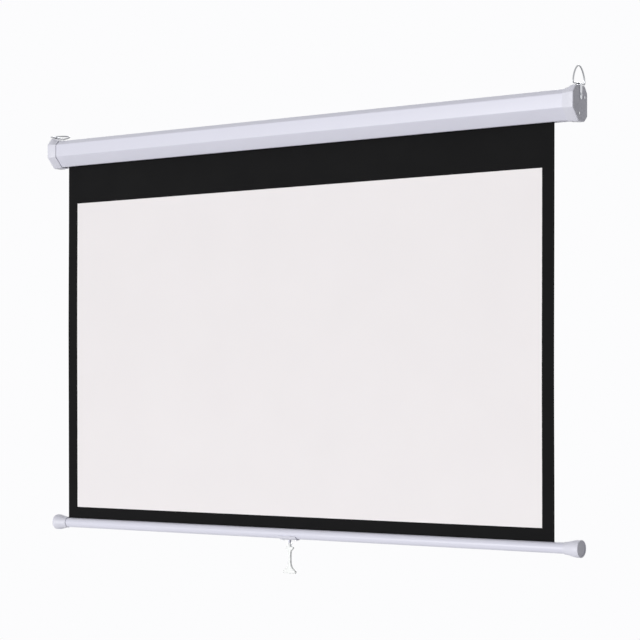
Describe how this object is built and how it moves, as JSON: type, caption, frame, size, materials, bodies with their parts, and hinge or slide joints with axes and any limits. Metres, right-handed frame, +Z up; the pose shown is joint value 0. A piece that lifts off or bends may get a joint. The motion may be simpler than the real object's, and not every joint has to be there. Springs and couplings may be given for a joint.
{
  "type": "pull down projector screen",
  "caption": "Hung projector screen: octagonal white casing with D ring hangers, spring roller, white sheet with a black mask, round batten and a pull handle on a wire link.",
  "frame": {"origin": "middle of the casing's back face, halfway up it, which is the wall plane", "axes": "+X along the casing to the right as seen from the front, +Y into the wall, +Z up"},
  "size_m": [1.7976, 0.0715, 1.2979],
  "materials": {
    "white_coated_steel": "satin white powder coat",
    "pale_moulding": "pale grey moulded plastic",
    "white_sheet": "matt white coated cloth",
    "black_mask": "matt black print",
    "nickel_wire": "dull nickel plated wire",
    "zinc_steel": "zinc plated",
    "spring_steel": "oiled spring wire",
    "roller_aluminium": "mill finish",
    "nylon": "natural nylon",
    "handle_moulding": "off white moulded plastic"
  },
  "bodies": {
    "hanging_case": {"casing": "white_coated_steel", "end_cap_left": "pale_moulding", "end_cap_right": "pale_moulding", "bracket_left": "zinc_steel", "bracket_right": "zinc_steel", "idler_bush": "nylon", "spindle": "zinc_steel", "ratchet_wheel": "zinc_steel", "torsion_spring": "spring_steel", "viewing_sheet": "white_sheet", "black_masking": "black_mask", "hanger_strap_left": "zinc_steel", "hanger_strap_right": "zinc_steel", "strap_screw_left": "zinc_steel", "strap_screw_right": "zinc_steel", "bracket_screw_left_1": "zinc_steel", "bracket_screw_left_2": "zinc_steel", "bracket_screw_right_1": "zinc_steel", "bracket_screw_right_2": "zinc_steel", "casing_screw_left_1": "zinc_steel", "casing_screw_left_2": "zinc_steel", "casing_screw_right_1": "zinc_steel", "casing_screw_right_2": "zinc_steel"},
    "roller": {"roller_tube": "roller_aluminium", "sheet_spline": "nylon", "drive_plug": "nylon", "idler_plug": "nylon", "idler_pin": "zinc_steel", "pawl_pin_upper": "zinc_steel", "pawl_pin_lower": "zinc_steel", "spring_anchor": "nylon", "sheet_wraps": "white_sheet"},
    "upper_pawl": {"pawl_upper": "zinc_steel"},
    "lower_pawl": {"pawl_lower": "zinc_steel"},
    "batten": {"batten_tube": "white_coated_steel", "batten_cap_left": "pale_moulding", "batten_cap_right": "pale_moulding", "hem_rod": "nylon", "handle_saddle": "pale_moulding", "saddle_screw_1": "zinc_steel", "saddle_screw_2": "zinc_steel"},
    "link": {"handle_link": "zinc_steel"},
    "handle": {"pull_handle": "handle_moulding"},
    "left_ring": {"d_ring_left": "nickel_wire"},
    "right_ring": {"d_ring_right": "nickel_wire"}
  },
  "joints": [
    {"name": "screen_pull", "type": "slide", "parent": "hanging_case", "child": "batten", "axis": [0, 0, 1], "range_m": [0, 1.0265], "deforming": ["viewing_sheet", "black_masking"]},
    {"name": "roller_spin", "type": "hinge", "parent": "hanging_case", "child": "roller", "pos_m": [0, -0.045, 0.003], "axis": [1, 0, 0], "range_deg": [0, 3061]},
    {"name": "pawl_upper_swing", "type": "hinge", "parent": "roller", "child": "upper_pawl", "pos_m": [-0.895, -0.03474, 0.01223], "axis": [1, 0, 0], "range_deg": [0, 20]},
    {"name": "pawl_lower_swing", "type": "hinge", "parent": "roller", "child": "lower_pawl", "pos_m": [-0.895, -0.05525, -0.00623], "axis": [1, 0, 0], "range_deg": [0, 20]},
    {"name": "link_swing", "type": "hinge", "parent": "batten", "child": "link", "pos_m": [-0.015, -0.02845, -1.1133], "axis": [1, 0, 0], "range_deg": [-30, 30]},
    {"name": "handle_swing", "type": "hinge", "parent": "link", "child": "handle", "pos_m": [-0.015, -0.02845, -1.1223], "axis": [1, 0, 0], "range_deg": [-50, 50]},
    {"name": "left_ring_swing", "type": "hinge", "parent": "hanging_case", "child": "left_ring", "pos_m": [-0.89, -0.034, 0.0508], "axis": [0, 1, 0], "range_deg": [-188, 0]},
    {"name": "right_ring_swing", "type": "hinge", "parent": "hanging_case", "child": "right_ring", "pos_m": [0.89, -0.034, 0.0508], "axis": [0, 1, 0], "range_deg": [-88, 100]}
  ],
  "couplings": [
    {"joint": "roller_spin", "follows": "screen_pull", "rad_per_m": 52.028}
  ]
}
